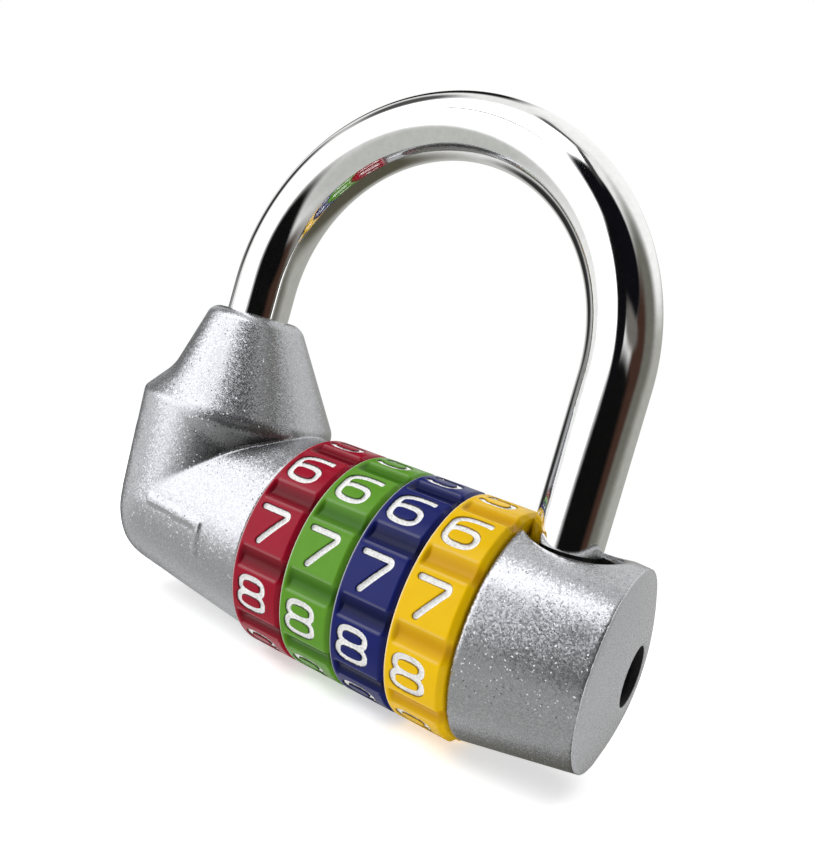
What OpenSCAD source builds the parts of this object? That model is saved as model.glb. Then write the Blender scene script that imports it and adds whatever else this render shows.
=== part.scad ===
// Barrel padlock with four number dials and a wide shackle.
// Millimetres. X runs along the barrel, from the shackle's long leg to its free leg.
// Y = 0 is the plane of the shackle, the dials are read from -Y, and +Z is up.
// The origin is under the middle of the lock, at the height of the dials' lowest point.
// The lock is drawn closed, with its combination set, so every gate is in line.

/* [Dials] */
// Outside diameter of a dial
dial_d = 26; // [25.6:0.1:26.2]
// Distance from one dial to the next
dial_pitch = 6.95; // [6.9:0.01:7]
// Width of one dial
dial_w = 6.8; // [6.6:0.05:6.8]
// Depth of the valleys between the numbered panels
valley_depth = 0.5; // [0.3:0.05:0.7]
// How far the read line stands above the horizontal, in degrees
read_angle = 15; // [0:1:30]

/* [Shackle] */
// Diameter of the shackle rod
rod_d = 7.9; // [7.7:0.05:7.9]
// X of the long leg
long_leg_x = -24.2; // [-24.3:0.05:-24.1]
// X of the free leg
free_leg_x = 24.75; // [24.75:0.05:24.9]
// Height at which both legs turn into the bow
bow_z = 41.8; // [40:0.1:46]
// How far the shackle lifts when the lock is open
lift = 8; // [7:0.5:8]
// How far the spindle moves along the barrel over that lift
spindle_travel = 2.6; // [2.6:0.05:2.8]

/* [Castings] */
// Radius of the castings next to the dials
barrel_r = 12.4; // [12.2:0.1:12.5]
// Height of the flat top of the boss
boss_top_z = 38.1; // [37:0.1:39]
// Overall length of the lock along the barrel
lock_len = 70.6; // [70.6:0.1:71]

/* [Reset] */
// How far the reset button and the hubs move
reset_travel = 1.5; // [1.4:0.05:1.5]
// Diameter of the reset hole in the end cap
reset_hole_d = 6.4; // [6:0.1:7]

/* [Hidden] */
$fn = 72;
eps = 0.01;
over = 1;               // how far a cut runs past the face that it opens
past = 20;              // reach of cuts and limiting blocks beyond the castings
fit = 0.05;             // gap between pieces that lie against each other
dial_r = dial_d / 2;
axis_z = dial_r;
rod_r = rod_d / 2;
digits = 10;
panel_step = 360 / digits;

// Dial stack: left face of the first dial, and of each one after it
stack_x = -dial_pitch;
function dial_x(i) = stack_x + i * dial_pitch;
dial_colors = ["crimson", "limegreen", "midnightblue", "gold"];
rim_w = 0.55;           // plain rim left of the valleys
dial_chamfer = 0.65;    // right-hand edge
rim_chamfer = 0.2;      // left-hand edge
valley_r = 1.9;

// Spindle's fins, and the web of each hub that they pass through when its gate is in line.
// A fin stands left of its web when the lock is shut and right of it when it is open, so the
// dials turn in both states. A reset brings the web over the fin, which then holds the hub.
play = 0.1;
fin_w = 2;
fin_r = 6;
fin_root = 2;           // the fins start inside the spindle, this far from its axis
fin_x = 0.9;
web_w = reset_travel + play;
fin_t = spindle_travel - web_w - 2 * play;
web_x = fin_x + fin_t + play;

// Hub inside each dial
hub_r = 7.58;
hub_w = dial_pitch - 0.2;
hub_gap = 0.1;          // dial's left face to the hub's
hub_bore_r = 4.58;
dial_bore_r = 7.65;
free_bore_r = 8.6;      // wide part of the dial's bore, where the hub's keys turn freely
free_bore_w = 2.6;
key_r = 0.5;
key_x = free_bore_w + play;
key_w = reset_travel - 2 * play;
gate_w = 2.3;
gate_r = 6.2;
dimple_r = 0.5;         // rests of the detent bumps, in the hub's bore

// Core tube, spindle and detent strip
tube_r = 4.5;
tube_bore_r = 3.3;
tube_x0 = -15.4;
tube_x1 = 28.6;
spindle_r = 3.2;
spindle_x0 = -13;
spindle_x1 = 22;
nose_r = 2.3;
strip_z = 3.75;         // height of the detent strip over the axis
strip_t = 0.35;
strip_w = 2.5;
bump_r = 0.6;

// Coil springs: radius of the wire, radii of the coils and numbers of turns
wire_r = 0.35;
spindle_coil_r = 2.5;
spindle_turns = 4;
reset_coil_r = 6.1;
reset_turns = 2;

// Notch of the long leg: a ramp that the nose follows while the shackle lifts
ramp = spindle_travel / lift;
notch_x = long_leg_x + rod_r - spindle_travel; // ramp's X at the height of the barrel axis
nose_gap = 0.05;
notch_top = 2.6;
long_leg_z = 4.6;
leg_gap = 0.3;          // leg's lower end to the bottom of its bore

// Retaining pin, which runs along a flat on the long leg and stops it at both ends
pin_r = 1;
pin_inset = 0.7;        // pin's axis inside the side of the leg
pin_x = long_leg_x - rod_r + pin_inset;
pin_z = 16;
pin_y0 = -5;
pin_y1 = 10.2;
pin_gap = 0.15;

// Free leg: a slightly thinner toe that stands in its socket
toe_r = rod_r - 0.2;
toe_z0 = 20.2;
toe_z1 = 26.6;
toe_gap = 0.4;          // toe's lower end to the bottom of its socket
leg_clear = 0.1;
toe_chamfer = 0.6;

// Left casting
left_face_x = stack_x - 0.25;
left_rise = 1;          // how far the casting's centre line rises over its length
left_end_r = 10.75;
left_end_x = -lock_len / 2;
column_x = -23.45;      // axis of the round column under the boss
column_r0 = 11.35;      // at the barrel's axis
column_r1 = column_x - left_end_x;
column_z1 = 25.65;
foot_z = 1.5;           // underside of the column's foot
shoulder_r = 9;
shoulder_z = 29.2;
corner_r = 7;           // rounded lower left corner
boss_r = 6.1;
boss_foot_r = 11.25;
boss_foot_x = -21.75;
boss_edge_z = boss_top_z - 0.8;
boss_edge_r = 5;        // top edge, rounded off by a short cone
boss_edge_step = 0.15;
boss_sink = 3;          // the leaning cone starts this far down inside the column
spring_room_r = 7.75;
spring_room_x = -11.2;

// Right casting and end cap
right_face_x = dial_x(3) + dial_w + 0.3;
right_end_x = 33.6;
right_rise = 0.7;
right_end_r = 10.8;
socket_r = toe_r + 0.3;
mouth_r = 5;
mouth_z = 23;
mouth_end_x = 26.7;
mouth_end_r = 4.5;
room_x = 29.4;
room_r = 8;
cap_x = 32.9;
// The dome passes through the cap's outer edge and the rim of the reset hole
dome_h = lock_len / 2 - right_end_x;
dome_depth = (pow(right_end_r, 2) - pow(reset_hole_d / 2, 2) - pow(dome_h, 2)) / (2 * dome_h);
dome_r = norm([dome_depth, right_end_r]);

// Reset button and its two prongs
button_r = reset_hole_d / 2 - 0.1;
plunger_x = 31.6;
plunger_t = 1.2;
plunger_r = 7.6;
button_x1 = 33.8;
prong_clear = 0.1;
prong_root = 0.5;       // the prongs start inside the plate
prong_r = 1.1;
prong_y = 5.2;
prong_z = -3;
prong_x = dial_x(3) + hub_gap + hub_w + fit;

// Pins that hold the core tube in the castings
tube_pin_r = 0.9;
tube_pin_y0 = 3.6;
tube_pin_y1 = 11;
tube_pin_left_x = -13.4;
tube_pin_right_x = 26;

// ---- helpers ----

// Puts its children on the barrel's axis: local Z along +X, local X straight down
module on_axis(x) {
    translate([x, 0, axis_z]) rotate([0, 90, 0]) children();
}

module bar(x0, x1, r) {
    on_axis(x0) cylinder(h = x1 - x0, r = r);
}

// Rod along Y
module cross_rod(x, z, y0, y1, r) {
    translate([x, y1, z]) rotate([90, 0, 0]) cylinder(h = y1 - y0, r = r);
}

// Box given by its limits
module block(x, y, z) {
    translate([x[0], y[0], z[0]]) cube([x[1] - x[0], y[1] - y[0], z[1] - z[0]]);
}

// Coil spring along X: a round wire swept round a helix
module coil(x0, x1, coil_r, turns) {
    sides = 6;
    steps = 18 * turns;
    length = x1 - x0 - 2 * wire_r;
    function ring_point(i, j) =
        let (a = 360 * turns * i / steps, b = 360 * j / sides, r = coil_r + wire_r * cos(b))
        [x0 + wire_r + length * i / steps + wire_r * sin(b), r * cos(a), axis_z + r * sin(a)];
    points = [for (i = [0 : steps]) for (j = [0 : sides - 1]) ring_point(i, j)];
    skin = [
        for (i = [0 : steps - 1]) for (j = [0 : sides - 1])
            [i * sides + j, (i + 1) * sides + j,
             (i + 1) * sides + (j + 1) % sides, i * sides + (j + 1) % sides]
    ];
    start = [[for (j = [0 : sides - 1]) j]];
    end = [[for (j = [sides - 1 : -1 : 0]) steps * sides + j]];
    polyhedron(points = points, faces = concat(start, skin, end));
}

// ---- castings ----

// Tapered barrel of the left casting, rising slightly away from the dials
module left_barrel() {
    length = left_face_x - left_end_x;
    tilt = atan(left_rise / length);
    slope = (barrel_r - left_end_r) / length;
    intersection() {
        translate([left_face_x, 0, axis_z]) rotate([0, -90 + tilt, 0])
            translate([0, 0, -over])
                cylinder(h = length + 3 * over, r1 = barrel_r + slope * over,
                         r2 = left_end_r - 2 * slope * over);
        block([left_end_x - past, left_face_x], [-past, past], [-past, 2 * past]);
    }
}

// Foot of the column, with its lower edge rounded all the way round
module column_foot() {
    flat_r = column_r0 - corner_r;
    height = axis_z - foot_z;
    translate([column_x, 0, foot_z]) rotate_extrude() {
        square([flat_r, height]);
        translate([0, corner_r]) square([column_r0, height - corner_r]);
        intersection() {
            translate([flat_r, corner_r]) circle(corner_r);
            square([column_r0, height]);
        }
    }
}

// Column, shoulder and tapered boss above the barrel's axis
module boss() {
    translate([column_x, 0, axis_z])
        cylinder(h = column_z1 - axis_z, r1 = column_r0, r2 = column_r1);
    translate([column_x, 0, column_z1])
        cylinder(h = shoulder_z - column_z1, r1 = column_r1, r2 = shoulder_r);
    rise = boss_edge_z - column_z1;
    lean = atan((boss_foot_x - long_leg_x) / rise);
    slope = (boss_foot_r - boss_r) / rise;
    intersection() {
        translate([boss_foot_x, 0, column_z1]) rotate([0, -lean, 0])
            translate([0, 0, -boss_sink])
                cylinder(h = rise + 3 * boss_sink, r1 = boss_foot_r + boss_sink * slope,
                         r2 = boss_r - 2 * boss_sink * slope);
        block([left_end_x - past, 0], [-past, past], [column_z1 - over, boss_edge_z]);
    }
    translate([long_leg_x, 0, boss_edge_z - eps])
        cylinder(h = boss_top_z - boss_edge_z + eps, r1 = boss_r - boss_edge_step, r2 = boss_edge_r);
}

module case_left() {
    color("silver") difference() {
        union() {
            intersection() {
                left_barrel();
                union() {
                    block([column_x, 0], [-past, past], [-past, 2 * past]);
                    column_foot();
                }
            }
            boss();
        }
        translate([long_leg_x, 0, long_leg_z - leg_gap])
            cylinder(h = boss_top_z, r = rod_r + leg_clear);
        bar(long_leg_x, tube_x0, nose_r + play);
        bar(tube_x0 - play, left_face_x, tube_r);
        bar(spring_room_x, left_face_x + over, spring_room_r);
        cross_rod(pin_x, pin_z, pin_y0, past, pin_r);
        cross_rod(tube_pin_left_x, axis_z, tube_pin_y0, past, tube_pin_r);
    }
}

module case_right() {
    length = right_end_x - right_face_x;
    tilt = atan(right_rise / length);
    slope = (barrel_r - right_end_r) / length;
    color("silver") difference() {
        intersection() {
            translate([right_face_x, 0, axis_z]) rotate([0, 90 - tilt, 0])
                translate([0, 0, -over])
                    cylinder(h = length + 3 * over, r1 = barrel_r + slope * over,
                             r2 = right_end_r - 2 * slope * over);
            block([right_face_x, right_end_x], [-past, past], [-past, 2 * past]);
        }
        bar(right_face_x - over, tube_x1, tube_r);
        bar(room_x, right_end_x + over, room_r);
        // socket of the free leg, and the wider mouth around it
        translate([free_leg_x, 0, toe_z0 - toe_gap]) cylinder(h = past, r = socket_r);
        translate([free_leg_x, 0, mouth_z]) cylinder(h = past, r = mouth_r);
        translate([mouth_end_x, 0, mouth_z]) cylinder(h = past, r = mouth_end_r);
        block([free_leg_x, mouth_end_x], [-mouth_end_r, mouth_end_r], [mouth_z, mouth_z + past]);
        for (side = [-1, 1])
            translate([0, side * prong_y, prong_z])
                bar(right_face_x - over, room_x + over, prong_r + prong_clear);
        cross_rod(tube_pin_right_x, axis_z, tube_pin_y0, past, tube_pin_r);
    }
}

module end_cap() {
    color("silver") difference() {
        union() {
            translate([0, 0, right_rise]) on_axis(right_end_x) rotate_extrude() intersection() {
                translate([0, -dome_depth]) circle(dome_r, $fn = 360);
                square([right_end_r, dome_h + over]);
            }
            bar(cap_x, right_end_x, room_r);
        }
        translate([0, 0, right_rise]) bar(cap_x - over, lock_len / 2 + over, reset_hole_d / 2);
    }
}

// ---- dials and hubs ----

module dial(i) {
    color(dial_colors[i]) on_axis(dial_x(i)) difference() {
        rotate_extrude() polygon([
            [dial_bore_r, 0], [dial_r - rim_chamfer, 0], [dial_r, rim_chamfer],
            [dial_r, dial_w - dial_chamfer], [dial_r - dial_chamfer, dial_w], [dial_bore_r, dial_w]
        ]);
        translate([0, 0, -over]) cylinder(h = free_bore_w + over, r = free_bore_r);
        for (k = [0 : digits - 1]) rotate(-90 - read_angle + (k + 0.5) * panel_step) {
            translate([dial_r - valley_depth + valley_r, 0, rim_w]) cylinder(h = dial_w, r = valley_r);
            translate([dial_bore_r, 0, 0]) cylinder(h = dial_w + over, r = key_r + play);
        }
    }
}

module hub(i) {
    color("darkkhaki") on_axis(dial_x(i) + hub_gap) {
        difference() {
            cylinder(h = hub_w, r = hub_r);
            translate([0, 0, -over]) cylinder(h = hub_w + 2 * over, r = hub_bore_r);
            translate([0, 0, -over]) cylinder(h = web_x - hub_gap + over, r = gate_r);
            translate([0, 0, web_x - hub_gap + web_w]) cylinder(h = hub_w, r = gate_r);
            translate([0, -gate_w / 2, -over]) cube([gate_r, gate_w, hub_w + 2 * over]);
            for (k = [0 : digits - 1]) rotate(180 + k * panel_step)
                translate([hub_bore_r, 0, -over]) cylinder(h = hub_w + 2 * over, r = dimple_r);
        }
        for (side = [0, 180]) rotate(-90 - read_angle + panel_step / 2 + side)
            translate([hub_r, 0, key_x - hub_gap]) cylinder(h = key_w, r = key_r);
    }
}

// ---- lock work ----

module core_tube() {
    color("slategray") difference() {
        bar(tube_x0, tube_x1, tube_r);
        bar(tube_x0 - over, tube_x1 + over, tube_bore_r);
        // slot that the fins pass through, open at the right-hand end
        block([stack_x, tube_x1 + over], [-gate_w / 2, gate_w / 2], [axis_z - tube_r - over, axis_z]);
        // flat seat for the detent strip
        block([stack_x, dial_x(3) + dial_w], [-strip_w / 2 - fit, strip_w / 2 + fit],
              [axis_z + strip_z - fit, axis_z + tube_r + over]);
        for (x = [tube_pin_left_x, tube_pin_right_x])
            cross_rod(x, axis_z, tube_pin_y0, past, tube_pin_r);
    }
}

// Half-space to the right of the ramp plane; dx moves the plane along X
module right_of_ramp(dx) {
    translate([notch_x + dx, 0, axis_z]) rotate([0, -atan(ramp), 0])
        translate([0, -past, -past]) cube(2 * past);
}

module spindle() {
    color("lightsteelblue") {
        bar(spindle_x0, spindle_x1, spindle_r);
        intersection() {
            bar(long_leg_x, spindle_x0, nose_r);
            right_of_ramp(nose_gap);
        }
        for (i = [0 : 3])
            block([dial_x(i) + fin_x, dial_x(i) + fin_x + fin_t], [-fin_w / 2, fin_w / 2],
                  [axis_z - fin_r, axis_z - fin_root]);
    }
}

module spindle_spring() {
    color("gainsboro") coil(spindle_x1 + fit, tube_x1 - fit, spindle_coil_r, spindle_turns);
}

module reset_spring() {
    color("gainsboro") coil(spring_room_x + fit, dial_x(0) + hub_gap - fit, reset_coil_r, reset_turns);
}

module detent_spring() {
    color("gainsboro") {
        block([stack_x + play, dial_x(3) + dial_w - play], [-strip_w / 2, strip_w / 2],
              [axis_z + strip_z, axis_z + strip_z + strip_t]);
        intersection() {
            for (i = [0 : 3])
                translate([0, 0, tube_r - bump_r])
                    bar(dial_x(i) + web_x + play, dial_x(i) + web_x + web_w - play, bump_r);
            block([stack_x, dial_x(4)], [-strip_w, strip_w], [axis_z + strip_z, axis_z + tube_r + over]);
        }
    }
}

module shackle() {
    bow_r = (free_leg_x - long_leg_x) / 2;
    color("whitesmoke") difference() {
        union() {
            translate([long_leg_x + bow_r, 0, bow_z]) rotate([90, 0, 0])
                rotate_extrude(angle = 180) translate([bow_r, 0]) circle(rod_r);
            translate([long_leg_x, 0, long_leg_z + toe_chamfer])
                cylinder(h = bow_z - long_leg_z - toe_chamfer, r = rod_r);
            translate([long_leg_x, 0, long_leg_z])
                cylinder(h = toe_chamfer, r1 = rod_r - toe_chamfer, r2 = rod_r);
            translate([free_leg_x, 0, toe_z1]) cylinder(h = bow_z - toe_z1, r = rod_r);
            translate([free_leg_x, 0, toe_z0 + toe_chamfer])
                cylinder(h = toe_z1 - toe_z0 - toe_chamfer, r = toe_r);
            translate([free_leg_x, 0, toe_z0])
                cylinder(h = toe_chamfer, r1 = toe_r - toe_chamfer, r2 = toe_r);
        }
        // ramped notch that the spindle's nose sits in
        intersection() {
            right_of_ramp(0);
            block([long_leg_x - rod_d, long_leg_x + rod_d], [-rod_d, rod_d],
                  [long_leg_z - over, axis_z + notch_top]);
        }
        // flat that the retaining pin runs along
        block([long_leg_x - rod_d, pin_x + pin_r + play], [-rod_d, rod_d],
              [pin_z - lift - pin_r - pin_gap, pin_z + pin_r + pin_gap]);
    }
}

module retaining_pin() {
    color("gray") cross_rod(pin_x, pin_z, pin_y0 + play, pin_y1, pin_r);
}

module tube_pin(x) {
    color("gray") cross_rod(x, axis_z, tube_pin_y0 + fit, tube_pin_y1, tube_pin_r);
}

module reset_plunger() {
    color("dimgray") {
        bar(plunger_x, plunger_x + plunger_t, plunger_r);
        translate([0, 0, right_rise]) bar(plunger_x, button_x1, button_r);
        for (side = [-1, 1])
            translate([0, side * prong_y, prong_z]) bar(prong_x, plunger_x + prong_root, prong_r);
    }
}

case_left();
case_right();
end_cap();
dial(0);  // dial_red
dial(1);  // dial_green
dial(2);  // dial_blue
dial(3);  // dial_yellow
hub(0);  // hub_red
hub(1);  // hub_green
hub(2);  // hub_blue
hub(3);  // hub_yellow
core_tube();
spindle();
spindle_spring();
detent_spring();
reset_spring();
shackle();
retaining_pin();
tube_pin(tube_pin_left_x);  // tube_pin_left
tube_pin(tube_pin_right_x);  // tube_pin_right
reset_plunger();
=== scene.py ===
import math

import bmesh
import bpy
import numpy as np
from mathutils import Euler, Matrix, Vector


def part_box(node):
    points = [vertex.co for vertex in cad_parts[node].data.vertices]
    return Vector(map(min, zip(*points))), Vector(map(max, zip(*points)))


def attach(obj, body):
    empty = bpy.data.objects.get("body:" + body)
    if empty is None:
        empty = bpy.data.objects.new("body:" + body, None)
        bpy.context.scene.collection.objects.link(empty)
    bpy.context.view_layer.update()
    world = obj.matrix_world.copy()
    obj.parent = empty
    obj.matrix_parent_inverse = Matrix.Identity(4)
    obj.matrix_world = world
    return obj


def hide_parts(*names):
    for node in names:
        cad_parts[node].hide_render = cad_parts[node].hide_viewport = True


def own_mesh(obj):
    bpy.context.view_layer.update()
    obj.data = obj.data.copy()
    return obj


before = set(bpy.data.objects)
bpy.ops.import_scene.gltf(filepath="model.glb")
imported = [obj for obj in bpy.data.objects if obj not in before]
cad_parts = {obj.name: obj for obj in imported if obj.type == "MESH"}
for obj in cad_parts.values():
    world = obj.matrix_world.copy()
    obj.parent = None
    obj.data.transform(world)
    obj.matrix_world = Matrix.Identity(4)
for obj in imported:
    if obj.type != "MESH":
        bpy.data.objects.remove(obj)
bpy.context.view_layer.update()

# Looks of a combination padlock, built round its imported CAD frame. Shapes are worked out in
# millimetres in the frame's own axes, and meshes are made in metres. X runs along the barrel,
# the numbers are read from -Y, and +Z is up.

MM = 0.001


def box_mm(node):
    """Lowest and highest corner of a CAD node, in mm."""
    low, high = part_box(node)
    return np.array(low) / MM, np.array(high) / MM


# ---- sizes read from the frame ----

COLOURS = ("red", "green", "blue", "yellow")
DIAL_LOW, DIAL_HIGH = box_mm("dial_red")
AXIS_Z = (DIAL_LOW[2] + DIAL_HIGH[2]) / 2
DIAL_R = (DIAL_HIGH[2] - DIAL_LOW[2]) / 2
DIAL_W = DIAL_HIGH[0] - DIAL_LOW[0]

SHACKLE_LOW, SHACKLE_HIGH = box_mm("shackle")
ROD_R = (SHACKLE_HIGH[1] - SHACKLE_LOW[1]) / 2
LONG_LEG_X = SHACKLE_LOW[0] + ROD_R
FREE_LEG_X = SHACKLE_HIGH[0] - ROD_R
BOW_R = (FREE_LEG_X - LONG_LEG_X) / 2
BOW_Z = SHACKLE_HIGH[2] - ROD_R - BOW_R

LEFT_LOW, LEFT_HIGH = box_mm("case_left")
RIGHT_LOW, RIGHT_HIGH = box_mm("case_right")
CAP_LOW, CAP_HIGH = box_mm("end_cap")


# ---- mesh tools ----


def mesh_object(name, points_mm, faces):
    """Smooth-shaded mesh object from points in mm and lists of point numbers."""
    mesh = bpy.data.meshes.new(name)
    mesh.from_pydata([tuple(p) for p in np.asarray(points_mm) * MM], [], [tuple(f) for f in faces])
    mesh.validate()
    mesh.shade_smooth()
    piece = bpy.data.objects.new(name, mesh)
    bpy.context.scene.collection.objects.link(piece)
    return piece


def grid_faces(rows, columns, close_rows=False):
    """Quads of a grid of points, row by row, with each row closed into a ring."""
    joined = rows if close_rows else rows - 1
    i, j = np.meshgrid(np.arange(joined), np.arange(columns), indexing="ij")
    i = i.ravel()
    j = j.ravel()
    i1 = (i + 1) % rows
    j1 = (j + 1) % columns
    return np.stack([i * columns + j, i * columns + j1, i1 * columns + j1, i1 * columns + j], 1)


def face_outwards(piece):
    """Turns every face of a closed mesh to look out."""
    shape = bmesh.new()
    shape.from_mesh(piece.data)
    bmesh.ops.recalc_face_normals(shape, faces=shape.faces)
    shape.to_mesh(piece.data)
    shape.free()
    return piece


def lathe(name, profile, steps, centre_z):
    """Closed ring turned round a line along X, from a closed profile of (x, radius)."""
    angles = np.linspace(0, 2 * math.pi, steps, endpoint=False)
    points = [
        (x, r * math.cos(a), centre_z + r * math.sin(a)) for x, r in profile for a in angles
    ]
    return face_outwards(mesh_object(name, points, grid_faces(len(profile), steps, close_rows=True)))


def tube(name, rings):
    """Closed mesh of a bent rod, from its rings of points in turn."""
    points = np.concatenate(rings)
    sides = len(rings[0])
    faces = grid_faces(len(rings), sides).tolist()
    faces.append(list(range(sides)))
    faces.append(list(range(len(points) - sides, len(points))))
    return face_outwards(mesh_object(name, points, faces))


def write_values(piece, name, values):
    """Gives each point of a piece a value that its material reads."""
    piece.data.attributes.new(name, "FLOAT", "POINT").data.foreach_set("value", values)


def replace_node(piece, material, body, node):
    """Paints a piece and lets it move with a body, in place of a CAD node."""
    piece.data.materials.append(material)
    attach(piece, body)
    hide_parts(node)


# ---- implicit solids: a field is negative inside and near the distance outside ----

SLOPE_STEP = 0.02
LEAST_SLOPE = 0.2
PASSES = 3


def smooth_min(a, b, width):
    """Union of two fields with a fillet of about that width."""
    h = np.maximum(width - np.abs(a - b), 0) / width
    return np.minimum(a, b) - h * h * width / 4


def smooth_max(a, b, width):
    """Intersection of two fields with a rounded edge of about that width."""
    return -smooth_min(-a, -b, width)


def smooth_step(value, low, high):
    """0 below the low value and 1 above the high one, with a smooth rise between them."""
    t = np.clip((value - low) / (high - low), 0, 1)
    return t * t * (3 - 2 * t)


def rounded_corner(a, b, radius):
    """Intersection of two fields with a round edge."""
    qa = a + radius
    qb = b + radius
    beyond = np.hypot(np.maximum(qa, 0), np.maximum(qb, 0))
    return beyond + np.minimum(np.maximum(qa, qb), 0) - radius


def cone_along_x(x, y, z, start, end):
    """Cone along X between two rings, each (x, radius, height of its centre over the axis)."""
    t = (x - start[0]) / (end[0] - start[0])
    radius = start[1] + (end[1] - start[1]) * t
    centre = AXIS_Z + start[2] + (end[2] - start[2]) * t
    slope = (end[1] - start[1]) / (end[0] - start[0])
    return (np.hypot(y, z - centre) - radius) / math.hypot(1, slope)


def cone_along_z(x, y, z, start, end):
    """Cone along Z between two rings, each (z, radius, x of its centre)."""
    t = (z - start[0]) / (end[0] - start[0])
    radius = start[1] + (end[1] - start[1]) * t
    centre = start[2] + (end[2] - start[2]) * t
    slope = (end[1] - start[1]) / (end[0] - start[0])
    return (np.hypot(x - centre, y) - radius) / math.hypot(1, slope)


def rod(u, v, r):
    """Endless round rod, by the distances u and v from its centre line."""
    return np.hypot(u, v) - r


def between(value, low, high):
    """Endless slab between two values."""
    return np.maximum(low - value, value - high)


def edge_crossings(value, axes, cell, axis):
    """Grid edges along an axis that cross the surface: their indices, and the places in mm."""
    first = [slice(None)] * 3
    second = [slice(None)] * 3
    first[axis] = slice(0, -1)
    second[axis] = slice(1, None)
    a = value[tuple(first)]
    b = value[tuple(second)]
    edge = np.argwhere((a < 0) != (b < 0))
    start = a[tuple(edge.T)]
    end = b[tuple(edge.T)]
    place = edge.astype(float)
    place[:, axis] += start / (start - end)
    return edge, np.array([line[0] for line in axes]) + place * cell


def cells_round_edges(edge, axis, cells):
    """Flat numbers of the four cells round each grid edge, in turn."""
    across = [k for k in range(3) if k != axis]
    around = []
    for step in ((0, 0), (-1, 0), (-1, -1), (0, -1)):
        at = edge.copy()
        at[:, across] += step
        around.append(np.ravel_multi_index(at.T, cells))
    return around


def surface_net(field, axes, cell):
    """A point in each cell that the surface passes through, and the quads between them."""
    value = field(*np.meshgrid(*axes, indexing="ij"))
    cells = np.array(value.shape) - 1
    sums = np.zeros((cells.prod(), 3))
    counts = np.zeros(cells.prod())
    quads = []
    for axis in range(3):
        edge, place = edge_crossings(value, axes, cell, axis)
        around = cells_round_edges(edge, axis, cells)
        for index in around:
            for k in range(3):
                sums[:, k] += np.bincount(index, place[:, k], len(sums))
            counts += np.bincount(index, minlength=len(sums))
        quads.append(np.stack(around, 1))
    used = np.flatnonzero(counts)
    number = np.full(len(counts), -1)
    number[used] = np.arange(len(used))
    return sums[used] / counts[used, None], number[np.concatenate(quads)]


def onto_surface(field, points, cell):
    """Moves points near the surface onto it, along the field's slope."""
    for _ in range(PASSES):
        here = field(*points.T)
        slopes = [
            (field(*(points + d).T) - field(*(points - d).T)) / (2 * SLOPE_STEP)
            for d in np.eye(3) * SLOPE_STEP
        ]
        slope = np.stack(slopes, 1)
        steepness = np.maximum((slope**2).sum(1), LEAST_SLOPE)
        move = here[:, None] * slope / steepness[:, None]
        points = points - np.clip(move, -cell / 2, cell / 2)
    return points


def solid_mesh(name, field, low, high, cell):
    """Smooth closed mesh of the solid where field(x, y, z) is negative."""
    axes = [np.arange(a - 2 * cell, b + 2 * cell, cell) for a, b in zip(low, high)]
    points, faces = surface_net(field, axes, cell)
    return face_outwards(mesh_object(name, onto_surface(field, points, cell), faces))


# ---- castings ----

# Rings of the cones along the barrel: x, radius, height of the centre over the axis
RING_LEFT_NEAR = (LEFT_HIGH[0], 12.4, 0.0)
RING_LEFT_FAR = (-33.0, 10.8, 1.0)
RING_RIGHT_NEAR = (RIGHT_LOW[0], 12.4, 0.0)
RING_RIGHT_FAR = (RIGHT_HIGH[0], 10.8, 0.7)

# Rings of the upright cones of the left casting: z, radius, x of the centre
COLUMN_X = -23.45
RIDGE_Z = 25.65
RING_COLUMN = (AXIS_Z, 11.35, COLUMN_X)
RING_RIDGE = (RIDGE_Z, 11.85, COLUMN_X)
RING_SHOULDER = (29.2, 9.0, COLUMN_X)
RING_BOSS_FOOT = (RIDGE_Z, 11.35, -21.65)
RING_BOSS_TOP = (37.3, 6.2, LONG_LEG_X + 0.1)
RING_UNDER_LOW = (20.0, 9.7, -21.75)
RING_UNDER_HIGH = (RIDGE_Z - 0.5, 11.7, -21.65)
FOOT_Z = 1.7
FOOT_EDGE_R = 10.0
BOSS_EDGE_R = 1.1
FACE_EDGE_R = 0.25

# Bores of both castings
TUBE_BORE_R = 4.5
TUBE_LEFT_X = -15.4
TUBE_RIGHT_X = 28.6
SPRING_ROOM_R = 7.75
SPRING_ROOM_X = -11.2
NOSE_BORE_R = 2.4
LEG_BORE_R = ROD_R + 0.12
LEG_BORE_Z = 4.3
BUTTON_ROOM_R = 8.0
BUTTON_ROOM_X = 29.4
PRONG_Y = 5.2
PRONG_Z = -3.0
PRONG_BORE_R = 1.2
SOCKET_R = 4.05
SOCKET_Z = 19.8

# Mouth round the free leg: its round end at the leg, and the one drawn out to the right
MOUTH_R = 4.9
MOUTH_Z = 21.5
MOUTH_END_R = 4.4
MOUTH_END_X = FREE_LEG_X + 1.95
RIM_Z = 23.3

# Raised mark on the front of the left casting. It is laid out along an arc of MARK_RADIUS round
# the casting's centre line, and fades out where -Y is below the first value of MARK_FADE.
MARK_START = -23.4
MARK_END = -14.1
MARK_W = 1.1
MARK_H = 0.22
MARK_RADIUS = 12.0
MARK_LOWER = 0.2
MARK_SOFT = 0.18
MARK_FADE = (6.0, 8.0)
HOOK_W = 0.75
HOOK_LENGTH = 3.8


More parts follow.
